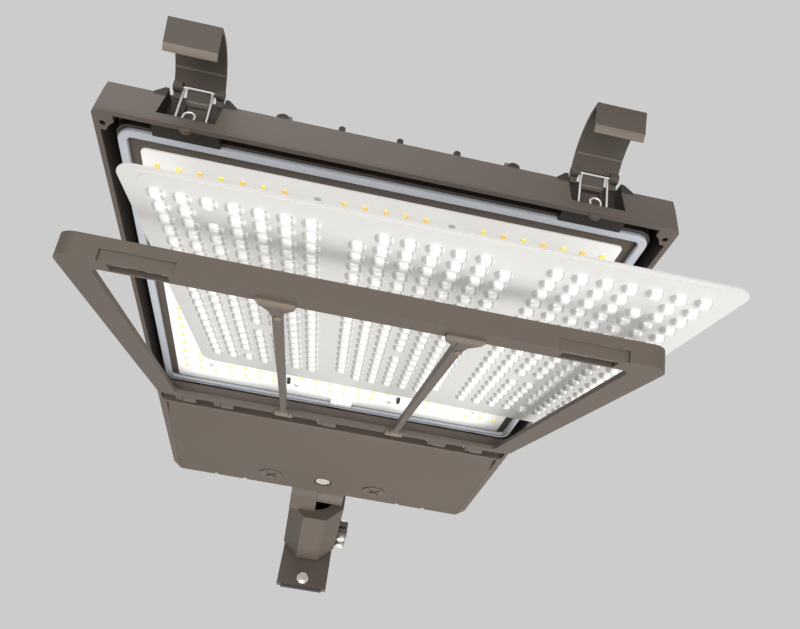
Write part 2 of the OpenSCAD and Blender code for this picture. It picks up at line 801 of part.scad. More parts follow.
module mullion() {
    front_clip_l = 16;
    foot_w = 22;
    foot_l = 12;
    bar_y0 = opening_y0 + gap;
    bar_y1 = opening_y1 - gap;
    clip_y0 = opening_y0 - front_clip_l / 2 + over;
    translate([-mullion_w / 2, bar_y0, door_z0 - clip_t + over])
        cube([mullion_w, bar_y1 - bar_y0, mullion_h]);
    translate([0, 0, door_z0 - clip_t]) linear_extrude(clip_t)
        polygon([[-clip_w / 2, clip_y0], [clip_w / 2, clip_y0], [clip_w / 2 - over, clip_y0 + front_clip_l / 2],
            [mullion_w / 2, clip_y0 + front_clip_l], [-mullion_w / 2, clip_y0 + front_clip_l],
            [-clip_w / 2 + over, clip_y0 + front_clip_l / 2]]);
    translate([-foot_w / 2, opening_y1 - foot_l / 3, door_z0 - clip_t]) cube([foot_w, foot_l, clip_t]);
    translate([-mullion_w / 2, opening_y1 - foot_l, door_z0 - clip_t]) cube([mullion_w, foot_l, clip_t]);
}

module mullion_left() {
    color(bronze) placed() door_placed() translate([-mullion_x, 0, 0]) mullion();
}

module mullion_right() {
    color(bronze) placed() door_placed() translate([mullion_x, 0, 0]) mullion();
}

// Lens plate, out of its seat
module lens_plate() {
    color([0.92, 0.92, 0.9, 0.8]) placed() translate([lens_shift_x, lens_y, -lens_drop]) rotate(lens_turn) {
        slab(field_w / 2 + lens_side, -field_l / 2 - lens_front, field_l / 2 + lens_rear, lens_corner_r,
            lens_step - lens_t / 2, lens_t / 2);
        slab(field_w / 2 + lens_step_side, lens_step_end - field_l / 2 - lens_front,
            field_l / 2 + lens_rear - lens_step_end, lens_corner_r, -lens_t / 2, lens_t / 2);
        for (p = lit_spots())
            translate([spot_x(p), spot_y(p) - field_l / 2, -lens_t / 2 - lens_h])
                cylinder(lens_h + lens_t / 2, lens_tip_r, lens_r, $fn = 16);
    }
}

// Latches, drawn closed about their pivot and then turned open
module latch_leaf() {
    top_turn = asin((latch_l / 2 + boss_r + latch_t) / bow_r);
    hook_a = flange_turn + hook_turn;
    flange_end = [0, -latch_l] + latch_flange * [cos(flange_turn), sin(flange_turn)];
    hook_end = flange_end + hook_l * [cos(hook_a), sin(hook_a)];
    below = latch_t * [sin(flange_turn), -cos(flange_turn)];
    arc = [for (i = [0:12]) -flange_turn + i / 12 * (top_turn + flange_turn)];
    across(-latch_w / 2, latch_w / 2) polygon(concat(
        [for (i = [12:-1:0]) [bow_r - bow_out - bow_r * cos(arc[i]), bow_r * sin(arc[i]) - latch_l / 2]],
        [flange_end, hook_end, hook_end + latch_t * [sin(hook_a), -cos(hook_a)],
            flange_end + below + latch_t * tan(hook_turn / 2) * [cos(flange_turn), sin(flange_turn)],
            [0, -latch_l] + below - latch_t * [cos(flange_turn), sin(flange_turn)]],
        [for (t = arc) [bow_r - bow_out - (bow_r + latch_t) * cos(t), (bow_r + latch_t) * sin(t) - latch_l / 2]]));
}

module latch_cover() {
    difference() {
        union() {
            latch_leaf();
            for (s = [-1, 1])
                bar_x(s > 0 ? latch_w / 2 - boss_l : -latch_w / 2, s > 0 ? latch_w / 2 : boss_l - latch_w / 2,
                    0, 0, boss_r);
        }
        bar_x(-latch_w, latch_w, 0, 0, wire_r + run);
        bar_x(boss_l - over - latch_w / 2, latch_w / 2 - boss_l + over, 0, 0, wire_r + 2 * gap);
        block(boss_l - over - latch_w / 2, latch_w / 2 - boss_l + over, -boss_r, 2 * boss_r, 0, 2 * boss_r);
    }
}

module latch_bail() {
    for (s = [-1, 1]) {
        rod([s * bail_x, bail_y, bail_z], [s * bail_top_x, pivot_y, pivot_z], 0.9 * wire_r);
        bar_x(s > 0 ? bail_top_x - wire_r : over - latch_w / 2, s > 0 ? latch_w / 2 - over : wire_r - bail_top_x,
            pivot_y, pivot_z, wire_r);
    }
    bar_x(-bail_x - wire_r, bail_x + wire_r, bail_y, bail_z, wire_r);
}

module latch_plate() {
    plate_x = 8;
    plate_z0 = 18;
    plate_z1 = 36;
    sheet = 1;
    block(-plate_x, plate_x, pocket_l - sheet, pocket_l, plate_z0, plate_z1);
    for (s = [-1, 1])
        block(s * plate_x - sheet / 2, s * plate_x + sheet / 2, pocket_l - 4 * sheet, pocket_l,
            plate_z0, plate_z1);
}

module latch_spring() {
    ring_r = 4;
    leg_l = 8;
    spring_y = 6;
    translate([0, spring_y, pocket_lip + leg_l]) {
        rotate([90, 0, 0]) rotate_extrude(angle = 180) translate([ring_r, 0]) circle(0.8 * wire_r);
        for (s = [-1, 1]) translate([s * ring_r, 0, -leg_l]) cylinder(leg_l, 0.8 * wire_r, 0.8 * wire_r);
    }
}

module latch_plate_left() {
    color(dark_bronze) placed() translate([-latch_x, 0, 0]) latch_plate();
}

module latch_plate_right() {
    color(dark_bronze) placed() translate([latch_x, 0, 0]) latch_plate();
}

module latch_spring_left() {
    color(steel) placed() translate([-latch_x, 0, 0]) latch_spring();
}

module latch_spring_right() {
    color(steel) placed() translate([latch_x, 0, 0]) latch_spring();
}

module latch_bail_left() {
    color(steel) placed() translate([-latch_x, 0, 0]) latch_bail();
}

module latch_bail_right() {
    color(steel) placed() translate([latch_x, 0, 0]) latch_bail();
}

module latch_cover_left() {
    color(bronze) placed()
        translate([-latch_x, pivot_y, pivot_z]) rotate([-latch_open_left, 0, 0]) latch_cover();
}

module latch_cover_right() {
    color(bronze) placed()
        translate([latch_x, pivot_y, pivot_z]) rotate([-latch_open_right, 0, 0]) latch_cover();
}

// Knuckle and slipfitter
module knuckle_arm() {
    color(bronze) placed() {
        difference() {
            union() {
                block(-arm_flange_w / 2, arm_flange_w / 2, box_back, box_back + arm_flange_t,
                    barrel_z - arm_flange_h / 2 + over, barrel_z + arm_flange_h / 2);
                block(split_x + gap, knuckle_w / 2 - pivot_r, box_back, barrel_y,
                    barrel_z - 0.8 * barrel_r, barrel_z + 0.8 * barrel_r);
                bar_x(split_x + gap, knuckle_w / 2 - pivot_r, barrel_y, barrel_z, barrel_r);
            }
            bar_x(-knuckle_w, knuckle_w, barrel_y, barrel_z, pivot_r + run);
            for (s = [-1, 1]) translate([s * arm_bolt_x, box_back + over, barrel_z]) rotate([-90, 0, 0])
                translate([0, 0, -2 * over]) cylinder(arm_flange_t - over, wall_bolt_r, wall_bolt_r);
        }
    }
}

module arm_bolts() {
    color(steel) placed()
        for (s = [-1, 1]) translate([s * arm_bolt_x, cavity_y1, barrel_z]) rotate([-90, 0, 0]) {
            translate([0, 0, -set_head_h]) cylinder(set_head_h, 2 * wall_bolt_r, 2 * wall_bolt_r, $fn = 6);
            translate([0, 0, -over]) cylinder(box_rim + arm_flange_t / 2 + over, wall_bolt_r - run,
                wall_bolt_r - run);
        }
}

module slipfitter_body() {
    flat = knuckle_w / 2;
    cut = flat * tan(22.5);
    color(bronze) placed() bracket_placed() difference() {
        union() {
            translate([0, slip_l, 0]) rotate([90, 0, 0]) linear_extrude(slip_l - slip_y0)
                polygon([[-flat, -cut], [-cut, -flat], [cut, -flat], [flat, -cut], [flat, cut], [cut, flat],
                    [-cut, flat], [-flat, cut]]);
            block(-flat, split_x, 0, slip_y0 + over, -barrel_r, barrel_r);
            bar_x(-flat, split_x, 0, 0, barrel_r);
            for (s = [-1, 1])
                block(flat - 2 * over, flat + clamp_w, slip_l - clamp_l, slip_l,
                    s > 0 ? clamp_gap / 2 : -clamp_gap / 2 - clamp_t, s > 0 ? clamp_gap / 2 + clamp_t : -clamp_gap / 2);
        }
        translate([0, slip_l + over, 0]) rotate([90, 0, 0])
            cylinder(slip_l + over - slip_y0 - slip_wall, bore_r, bore_r);
        translate([0, slip_y0 + slip_wall + over, 0]) rotate([90, 0, 0])
            cylinder(slip_wall + 2 * over, bore_r - slip_wall / 2, bore_r - slip_wall / 2);
        bar_x(split_x, knuckle_w, 0, 0, barrel_r + 2 * over);
        bar_x(-knuckle_w, knuckle_w, 0, 0, pivot_r + run);
        block(bore_r - over, flat + clamp_w + over, slip_l - clamp_l - over, slip_l + over,
            -clamp_gap / 2, clamp_gap / 2);
        for (y = [slip_l - clamp_l / 2 - set_pitch / 2, slip_l - clamp_l / 2 + set_pitch / 2])
            translate([flat + clamp_w / 2, y, -knuckle_w]) cylinder(2 * knuckle_w, set_bolt_r + run, set_bolt_r + run);
    }
}

module pivot_bolt() {
    color(dark_bronze) placed() bracket_placed() {
        bar_x(-knuckle_w / 2 - set_head_h, -knuckle_w / 2, 0, 0, 2 * pivot_r);
        bar_x(-knuckle_w / 2 - over, knuckle_w / 2 + pivot_r, 0, 0, pivot_r);
    }
}

module pivot_washer() {
    color(steel) placed() bracket_placed() difference() {
        bar_x(knuckle_w / 2 - pivot_r + gap, knuckle_w / 2 - pivot_r + gap + washer_t, 0, 0, 2 * pivot_r);
        bar_x(-knuckle_w, knuckle_w, 0, 0, pivot_r + run);
    }
}

module pivot_nut() {
    color(steel) placed() bracket_placed() difference() {
        translate([knuckle_w / 2 - pivot_r + gap + washer_t, 0, 0]) rotate([0, 90, 0])
            cylinder(pivot_r * 1.5, 1.8 * pivot_r, 1.8 * pivot_r, $fn = 6);
        bar_x(-knuckle_w, knuckle_w, 0, 0, pivot_r);
    }
}

module set_places() {
    for (y = [slip_l - clamp_l / 2 - set_pitch / 2, slip_l - clamp_l / 2 + set_pitch / 2])
        translate([knuckle_w / 2 + clamp_w / 2, y, 0]) children();
}

module set_bolts() {
    grip = clamp_gap / 2 + clamp_t;
    color(steel) placed() bracket_placed() set_places() {
        translate([0, 0, -grip - set_head_h]) cylinder(set_head_h, set_head_r, set_head_r);
        translate([0, 0, -grip - over]) cylinder(2 * grip + set_head_h + 2 * over, set_bolt_r, set_bolt_r);
    }
}

module set_nuts() {
    grip = clamp_gap / 2 + clamp_t;
    color(steel) placed() bracket_placed() set_places() difference() {
        translate([0, 0, grip]) cylinder(set_head_h, set_head_r, set_head_r, $fn = 6);
        cylinder(2 * knuckle_w, set_bolt_r, set_bolt_r);
    }
}

module tenon() {
    color(dark_bronze) placed() bracket_placed() translate([0, plate_y0, 0]) rotate([90, 0, 0]) difference() {
        cylinder(plate_y0 - slip_y0 - slip_wall - over, tenon_d / 2, tenon_d / 2);
        translate([0, 0, -over]) cylinder(plate_y0, tenon_d / 2 - tenon_wall, tenon_d / 2 - tenon_wall);
    }
}

module wall_bolt_places() {
    for (s = [-1, 1]) translate([0, plate_y0, plate_mid + s * wall_pcd / 2]) rotate([-90, 0, 0]) children();
}

module wall_plate() {
    bevel = 8;
    z0 = plate_top - plate_h;
    color(dark_bronze) placed() bracket_placed() difference() {
        translate([0, plate_y1, 0]) rotate([90, 0, 0]) linear_extrude(plate_t)
            polygon([[-plate_w / 2, z0], [plate_w / 2, z0], [plate_w / 2, plate_top - bevel],
                [plate_w / 2 - bevel, plate_top], [bevel - plate_w / 2, plate_top],
                [-plate_w / 2, plate_top - bevel]]);
        wall_bolt_places() translate([0, 0, -over])
            cylinder(plate_t + 2 * over, wall_bolt_r + run, wall_bolt_r + run);
    }
}

module plate_gasket() {
    liner_in = 7;
    z0 = plate_top - plate_h;
    color([0.15, 0.15, 0.15]) placed() bracket_placed()
        block(liner_in - plate_w / 2, plate_w / 2 - liner_in, plate_y0, plate_y1, z0 - liner_t, z0);
}

module wall_bolts() {
    color(steel) placed() bracket_placed() wall_bolt_places() {
        translate([0, 0, -set_head_h - washer_t])
            cylinder(set_head_h, 1.6 * wall_bolt_r, 1.6 * wall_bolt_r, $fn = 6);
        translate([0, 0, -2 * washer_t]) cylinder(plate_t + 3 * washer_t, wall_waist_r, wall_waist_r);
        translate([0, 0, plate_t]) cylinder(wall_stud_l, wall_bolt_r, wall_bolt_r);
    }
}

module wall_washers() {
    color(steel) placed() bracket_placed() wall_bolt_places() difference() {
        translate([0, 0, -washer_t]) cylinder(washer_t, 1.9 * wall_bolt_r, 1.9 * wall_bolt_r);
        translate([0, 0, -2 * washer_t]) cylinder(3 * washer_t, wall_waist_r + run, wall_waist_r + run);
    }
}

housing();
led_board();
led_chips();
board_screws();
board_connectors();
wire_connector();
gasket();
knuckle_arm();
arm_bolts();
hinge_pins();
led_driver();
driver_screws();
surge_protector();
terminal_block();
latch_plate_left();
latch_plate_right();
latch_spring_left();
latch_spring_right();
door_frame();
mullion_left();
mullion_right();
lens_plate();
driver_cover();
cover_gasket();
cover_plugs();
cover_screw();
latch_bail_left();
latch_bail_right();
latch_cover_left();
latch_cover_right();
slipfitter_body();
pivot_bolt();
pivot_washer();
pivot_nut();
set_bolts();
set_nuts();
tenon();
wall_plate();
plate_gasket();
wall_bolts();
wall_washers();
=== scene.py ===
import bpy
import bmesh
import json
import math
from mathutils import Euler, Matrix, Vector


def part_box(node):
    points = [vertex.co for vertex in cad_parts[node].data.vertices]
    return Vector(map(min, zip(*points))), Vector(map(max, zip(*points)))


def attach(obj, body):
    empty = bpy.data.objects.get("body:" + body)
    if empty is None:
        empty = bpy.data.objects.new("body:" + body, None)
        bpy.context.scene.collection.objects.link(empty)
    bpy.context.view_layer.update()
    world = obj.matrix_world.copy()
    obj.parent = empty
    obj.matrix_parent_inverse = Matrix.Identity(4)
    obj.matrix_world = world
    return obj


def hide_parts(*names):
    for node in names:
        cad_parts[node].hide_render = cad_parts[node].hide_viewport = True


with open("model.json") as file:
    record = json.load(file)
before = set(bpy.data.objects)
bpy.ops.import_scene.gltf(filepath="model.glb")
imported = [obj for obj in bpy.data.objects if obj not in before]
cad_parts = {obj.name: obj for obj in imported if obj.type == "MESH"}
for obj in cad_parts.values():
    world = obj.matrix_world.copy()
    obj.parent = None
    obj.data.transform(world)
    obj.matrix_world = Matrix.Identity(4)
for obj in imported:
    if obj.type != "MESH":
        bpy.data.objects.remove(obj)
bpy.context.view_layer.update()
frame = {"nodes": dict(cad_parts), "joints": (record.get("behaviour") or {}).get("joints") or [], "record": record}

# Places are given in millimetres from the middle of the front rim, and the frame says where that is
boardTop = 11.2
rim = Vector((0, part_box("housing")[0].y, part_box("led_board")[1].z - boardTop / 1000))


def at(x, y, z):
    return rim + Vector((x, y, z)) / 1000


def turned(*degrees):
    return Euler([math.radians(a) for a in degrees])


def tint(red, green, blue):
    # a screen colour from 0 to 255, as the linear colour that a socket takes
    linear = [((c / 255 + 0.055) / 1.055) ** 2.4 if c > 10 else c / 255 / 12.92 for c in (red, green, blue)]
    return (*linear, 1)


print("stage 1: camera, finishes and light")

camera = {"place": (-0.0173, -1.2209, -0.3252), "turn": (124.857, -6.389, -10.0), "lens": 31.666}


def makeCamera():
    data = bpy.data.cameras.new("camera")
    data.sensor_width = 36
    data.lens = camera["lens"]
    data.clip_start = 0.01
    eye = bpy.data.objects.new("camera", data)
    eye.location = camera["place"]
    eye.rotation_euler = turned(*camera["turn"])
    bpy.context.scene.collection.objects.link(eye)
    bpy.context.scene.camera = eye


makeCamera()


class Signal:
    # a socket that Python sums can use
    def __init__(self, finish, socket):
        self.finish = finish
        self.socket = socket

    def maths(self, operation, *values):
        return self.finish.node("Math", {"operation": operation}, dict(enumerate(values)))

    def __add__(self, other):
        return self.maths("ADD", self, other)

    __radd__ = __add__

    def __sub__(self, other):
        return self.maths("SUBTRACT", self, other)

    def __rsub__(self, other):
        return self.maths("SUBTRACT", other, self)

    def __mul__(self, other):
        return self.maths("MULTIPLY", self, other)

    __rmul__ = __mul__

    def __gt__(self, other):
        return self.maths("GREATER_THAN", self, other)

    def __lt__(self, other):
        return self.maths("LESS_THAN", self, other)

    def __abs__(self):
        return self.maths("ABSOLUTE", self)


class Finish:
    # the nodes of one procedural material, or of the world
    def __init__(self, name, kept=bpy.data.materials):
        self.made = kept.new(name)
        self.made.use_nodes = True
        self.tree = self.made.node_tree
        self.tree.nodes.clear()

    def node(self, kind, settings=None, inputs=None, output=0):
        made = self.tree.nodes.new("ShaderNode" + kind)
        for name, value in (settings or {}).items():
            if name == "stops":
                first, *others = value
                made.color_ramp.elements.remove(made.color_ramp.elements[0])
                made.color_ramp.elements[0].position, made.color_ramp.elements[0].color = first
                for position, colour in others:
                    made.color_ramp.elements.new(position).color = colour
            else:
                setattr(made, name, value)
        for name, value in (inputs or {}).items():
            if isinstance(value, Signal):
                self.tree.links.new(value.socket, made.inputs[name])
            else:
                made.inputs[name].default_value = value
        return Signal(self, made.outputs[output])

    def parts(self, kind, value):
        # the three numbers of a place or a colour
        split = self.node(kind, inputs={0: value}).socket.node
        return [Signal(self, out) for out in split.outputs]

    def place(self):
        return self.node("TexCoord", output="Object")

    def noise(self, scale, detail=2, rough=0.5):
        return self.node("TexNoise", inputs={"Vector": self.place(), "Scale": scale, "Detail": detail,
                                             "Roughness": rough})

    def fade(self, factor, start, end):
        # 1 up to the start, then down to 0 at the end
        return self.node("ValToRGB", {"stops": ((start, (1, 1, 1, 1)), (end, (0, 0, 0, 1)))}, {"Fac": factor})

    def rise(self, factor, start, end):
        return self.node("ValToRGB", {"stops": ((start, (0, 0, 0, 1)), (end, (1, 1, 1, 1)))}, {"Fac": factor})

    def mix(self, factor, first, second):
        return self.node("Mix", {"data_type": "RGBA"}, {0: factor, 6: first, 7: second}, output=2)

    def bump(self, height, strength, distance):
        return self.node("Bump", inputs={"Height": height, "Strength": strength, "Distance": distance})

    def show(self, shader, kind="Material"):
        out = self.tree.nodes.new("ShaderNodeOutput" + kind)
        self.tree.links.new(shader.socket, out.inputs["Surface"])
        return self.made

    def done(self, shadowless=0, **sockets):
        # shadowless is the share of the lamps' light that passes through
        names = {name.replace("_", " "): value for name, value in sockets.items()}
        shader = self.node("BsdfPrincipled", inputs=names, output="BSDF")
        if shadowless:
            shadow = self.node("LightPath", output="Is Shadow Ray")
            clear = self.node("BsdfTransparent")
            shader = self.node("MixShader", inputs={0: shadow * shadowless, 1: shader, 2: clear})
        return self.show(shader)


def scaled(colour, factor):
    return (*[c * factor for c in colour[:3]], 1)


def powderCoat(name, base, rough):
    # fine grained powder paint with a slight cloudiness
    finish = Finish(name)
    cloud = finish.noise(9, 4)
    grain = finish.noise(1400)
    colour = finish.mix(cloud * 0.7 + grain * 0.3, scaled(base, 0.88), scaled(base, 1.12))
    return finish.done(Base_Color=colour, Roughness=rough + cloud * 0.1, Specular_IOR_Level=0.35,
                       Normal=finish.bump(grain, 0.25, 0.0002))


def plated(name, base, rough):
    # bright metal with fine turning marks
    finish = Finish(name)
    marks = finish.noise(900, 3, 0.7)
    stain = finish.noise(60, 3)
    return finish.done(Base_Color=finish.mix(stain, scaled(base, 0.75), base), Metallic=0.8,
                       Roughness=rough + marks * 0.2, Normal=finish.bump(marks, 0.15, 0.0001))


def moulded(name, base, rough):
    # smooth moulded plastic, rubber or lacquer
    finish = Finish(name)
    cloud = finish.noise(30, 3)
    grain = finish.noise(500)
    return finish.done(Base_Color=finish.mix(cloud, scaled(base, 0.9), base), Roughness=rough + grain * 0.08,
                       Normal=finish.bump(grain, 0.1, 0.0001))


columnStep = 0.016  # metres between the columns of the LEDs and of the lenses


def phosphor():
    # yellow phosphor, warm and cool in turn from column to column
    finish = Finish("ledPhosphor")
    x = finish.parts("SeparateXYZ", finish.place())[0]
    turn = x.maths("PINGPONG", x + columnStep / 2, columnStep) > columnStep / 2
    colour = finish.mix(turn, tint(255, 206, 112), tint(248, 228, 110))
    return finish.done(Base_Color=colour, Roughness=0.35, Coat_Weight=0.4)


def lensClear():
    # milky moulded plate with painted reflections on its domes and a faint painted glow; the spot attribute has
    # each dome's sideways and lengthwise place and its cover
    finish = Finish("lensPlate")
    cloud = finish.noise(14, 3)
    spot = finish.node("Attribute", {"attribute_name": "spot"}, output="Color")
    across, along, dome = finish.parts("SeparateColor", spot)
    u = across * 2 - 1
    v = along * 2 - 1
    # painted reflections: each dome gets a dark round patch at its left, a dark bar at its right and a dark line
    # at its rear
    left = finish.fade((u + 0.7) * (u + 0.7) + (v + 0.4) * (v + 0.4) * 0.6, 0.05, 0.16)
    right = finish.fade(abs(u - v * 0.15 - 0.72), 0.08, 0.2) * (v < 0.6)
    rearPaintedReflection = finish.rise(v, 0.66, 0.82)
    milky = finish.mix(cloud, tint(158, 157, 154), tint(164, 163, 160))
    # the domes' tone, darkened where the painted reflections fall
    clear = finish.mix(left * 0.5 + right * 0.5, tint(184, 183, 180), tint(80, 78, 75))
    clear = finish.mix(rearPaintedReflection * 0.4, clear, tint(84, 82, 78))
    colour = finish.mix(dome, milky, clear)
    # painted glow: the colour also glows faintly, so the plate and its domes look evenly lit
    return finish.done(Base_Color=colour, Roughness=0.35 - dome * 0.2, Coat_Weight=dome * 0.5, IOR=1.45,
                       Emission_Color=colour, Emission_Strength=0.3, shadowless=0.8)


finishes = {
    "bronze": powderCoat("bronzePowderCoat", tint(78, 69, 62), 0.5),
    "darkBronze": powderCoat("darkBronzePowderCoat", tint(62, 54, 46), 0.5),
    # painted shade for the latch leaves' inner sides under their flanges
    "inside": powderCoat("latchInnerPaintedShade", tint(60, 52, 45), 0.55),
    # a lighter bronze as a painted highlight on the mullions' clips, feet, collars, knobs and ribs
    "paintedHighlight": powderCoat("mullionPaintedHighlight", tint(104, 94, 82), 0.4),
    # painted shade: a darker copy of the bronze for the door frame, driver cover, slipfitter body and wall plate
    "shade": powderCoat("paintedShadeBronze", tint(73, 64, 56), 0.5),
    # a lighter bronze as a painted highlight on the latch tips, the line across each leaf and a band of each
    # tongue
    "paintedLipHighlight": powderCoat("latchLipPaintedHighlight", tint(90, 80, 70), 0.45),
    # painted shade for the housing's channel between the gasket and the wall
    "paintedRecessShade": powderCoat("recessPaintedShadeBronze", tint(38, 32, 27), 0.6),
    "steel": plated("brightSteel", tint(232, 229, 222), 0.3),
    "driverCase": plated("driverCase", tint(190, 190, 188), 0.4),
    "board": moulded("whiteSolderMask", tint(230, 229, 226), 0.5),
    "black": moulded("blackPlastic", tint(30, 30, 30), 0.4),
    "white": moulded("whitePlastic", tint(235, 234, 228), 0.35),
    "gasket": moulded("greySilicone", tint(170, 174, 180), 0.5),
    "rubber": moulded("blackRubber", tint(28, 28, 28), 0.7),
    "phosphor": phosphor(),
    "lens": lensClear(),
}

lamps = {
    # name: place, aims at, width, height, power
    "key": ((-0.5, -3.3, -1.2), (0, -0.55, 0), 3.2, 2.6, 130),
    "under": ((0.3, 0.1, -2.6), (0, -0.4, 0), 2.6, 2.6, 85),
    "side": ((1.5, -0.9, -1.6), (0.1, -0.5, 0), 1.4, 1.4, 42),
    "top": ((-0.6, -1.4, 1.9), (0, -0.5, 0), 2.0, 2.0, 22),
}
studio = {"backdrop": tint(204, 204, 204), "light": 0.3, "floorLevel": -3.4, "floorSize": 6}


def makeLamps():
    for name, (place, aim, width, height, power) in lamps.items():
        data = bpy.data.lights.new(name, "AREA")
        data.shape = "RECTANGLE"
        data.size = width
        data.size_y = height
        data.energy = power
        lamp = bpy.data.objects.new(name, data)
        lamp.location = place
        lamp.rotation_euler = (Vector(aim) - Vector(place)).to_track_quat("-Z", "Y").to_euler()
        bpy.context.scene.collection.objects.link(lamp)


def makeWorld():
    # an even grey that the camera, metal and glass see, and a dimmer light for the object
    world = Finish("studio", bpy.data.worlds)
    camera, glass, metal = [world.node("LightPath", output="Is " + ray + " Ray")
                            for ray in ("Camera", "Transmission", "Glossy")]
    lit = world.node("Background", inputs={"Color": (1, 1, 1, 1), "Strength": studio["light"]})
    shown = world.node("Background", inputs={"Color": studio["backdrop"]})
    bpy.context.scene.world = world.show(
        world.node("MixShader", inputs={0: camera + glass + metal, 1: lit, 2: shown}), "World")


def makeFloor():
    finish = Finish("paleFloor")
    colour = finish.mix(finish.noise(3), tint(202, 202, 202), tint(206, 206, 206))
    bm = bmesh.new()
    bmesh.ops.create_grid(bm, x_segments=1, y_segments=1, size=studio["floorSize"])
    bmesh.ops.translate(bm, verts=bm.verts, vec=(0, 0, studio["floorLevel"]))
    mesh = bpy.data.meshes.new("floor")
    bm.to_mesh(mesh)
    bm.free()
    mesh.materials.append(finish.done(Base_Color=colour, Roughness=0.9))
    floor = bpy.data.objects.new("floor", mesh)
    bpy.context.scene.collection.objects.link(floor)


makeLamps()
makeWorld()
makeFloor()
bpy.context.scene.view_settings.view_transform = "Standard"

print("stage 2: frame pieces with softened edges")


def bodyOf(node):
    return next(b for b, nodes in frame["record"]["behaviour"]["bodies"].items() if node in nodes)


def slotOf(node):
    return next(s["material_slot"] for s in frame["record"]["subparts"] if s["node"] == node)


def newPiece(node, bm, materials, sharp=32):
    # a piece that stands for a node of the frame
    mesh = bpy.data.meshes.new(node + "_shape")
    bm.to_mesh(mesh)
    bm.free()
    for material in materials:
        mesh.materials.append(material)
    mesh.shade_smooth()
    mesh.set_sharp_from_angle(angle=math.radians(sharp))
    piece = bpy.data.objects.new(node + "_shape", mesh)
    bpy.context.scene.collection.objects.link(piece)
    # keeps wide flat faces flat beside their rounded edges
    flat = piece.modifiers.new("flatFaces", "WEIGHTED_NORMAL")
    flat.keep_sharp = True
    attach(piece, bodyOf(node))
    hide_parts(node)


def copyOf(node):
    # a merged copy of a frame node, with its flat faces whole
    bm = bmesh.new()
    bm.from_mesh(frame["nodes"][node].data)
    bmesh.ops.remove_doubles(bm, verts=bm.verts, dist=0.000002)
    bmesh.ops.dissolve_limit(bm, angle_limit=math.radians(0.8), verts=bm.verts, edges=bm.edges)
    return bm


def soften(bm, width, angle=38):
    # rounds the edges that are sharper than the angle, by a width in millimetres
    edges = [e for e in bm.edges if len(e.link_faces) == 2 and e.calc_face_angle(0) > math.radians(angle)]
    bmesh.ops.bevel(bm, geom=edges, offset=width / 1000, offset_type="OFFSET", segments=2, profile=0.5,
                    affect="EDGES", clamp_overlap=True, material=-1)


def drawOut(bm, outline, low, high, tone=0, place=Matrix()):
    # an outline in millimetres, drawn out between two levels
    corners = [bm.verts.new((x / 1000, y / 1000, low / 1000)) for x, y in outline]
    bm.faces.new(corners)
    grown = bmesh.ops.extrude_face_region(bm, geom=corners[0].link_faces[:], use_keep_orig=True)["geom"]
    over = [g for g in grown if isinstance(g, bmesh.types.BMVert)]
    bmesh.ops.translate(bm, verts=over, vec=(0, 0, (high - low) / 1000))
    faces = list({face for vert in corners + over for face in vert.link_faces})
    bmesh.ops.recalc_face_normals(bm, faces=faces)
    for face in faces:
        face.material_index = tone
    bmesh.ops.transform(bm, matrix=place, verts=corners + over)


channel = {"half": 200, "front": 21, "rear": 392.5, "wallHalf": 206.5, "wallFront": 3.4, "wallRear": 405,
           "floor": 0.4}


def dressHousing(bm, node):
    # painted shade: a darker finish on the channel between the gasket and the wall, where shadow falls
    c = channel
    for face in bm.faces:
        x, y, z = (face.calc_center_median() - rim) * 1000
        around = abs(x) > c["half"] or y < c["front"] or y > c["rear"]
        inside = abs(x) < c["wallHalf"] and c["wallFront"] < y < c["wallRear"] and z > c["floor"]
        if around and inside and face.normal.z < 0.3:
            face.material_index = 1


latch = {
    # all in the shut latch's depth and height from its pivot, in millimetres
    "open": {"left": 92, "right": 106}, "half": 18, "lipDepth": 13.9, "flangeHeight": -50,
    "line": [(-6.1, -12.2), (-5.5, -12.2), (-5.85, -13.4), (-6.45, -13.4)], "lineHalf": 17.6,
    "tongueCentre": (36.6, -25.5), "tongueRadius": 44.6, "tongueWall": 1.6, "tongueHalf": 8.4,
    # start and end of each stretch of the tongue in degrees, and its tone: 1 is the painted shade, 2 the painted
    # highlight
    "tongue": ((36.5, 45.5, 1), (45.5, 47, 2), (47, 50, 1)),
}
sideways = Matrix(((0, 0, 1, 0), (1, 0, 0, 0), (0, 1, 0, 0), (0, 0, 0, 1)))


def dressLatch(bm, node):
    # painted shade on the inner side, a painted highlight on the tip, a line across the leaf in the painted
    # highlight, and a tongue behind the wire in painted shade with a band of painted highlight
    side = node.split("_")[-1]
    joint = next(j for j in frame["joints"] if j["name"] == "latch_" + side + "_turn")
    pivot = Vector(joint["pos_m"])
    pivot.x = sum(corner.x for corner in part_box(node)) / 2
    place = Matrix.Translation(pivot) @ turned(-latch["open"][side], 0, 0).to_matrix().to_4x4()
    back = place.inverted()
    bm.normal_update()
    for face in bm.faces:
        x, depth, height = back @ face.calc_center_median() * 1000
        # a painted highlight on the tip, painted shade on the inner side under the flange
        if depth > latch["lipDepth"]:
            face.material_index = 2
        elif (back.to_3x3() @ face.normal).y > 0.3 and height > latch["flangeHeight"] and abs(x) < latch["half"]:
            face.material_index = 1
    drawOut(bm, latch["line"], -latch["lineHalf"], latch["lineHalf"], 2, place @ sideways)
    depth, height = latch["tongueCentre"]
    for start, end, tone in latch["tongue"]:
        angles = [math.radians(a) for a in (start, (start + end) / 2, end)]
        front = [(depth - latch["tongueRadius"] * math.cos(a), height + latch["tongueRadius"] * math.sin(a))
                 for a in angles]
        rear = [(y - latch["tongueWall"], z) for y, z in reversed(front)]
        drawOut(bm, front + rear, -latch["tongueHalf"], latch["tongueHalf"], tone, place @ sideways)


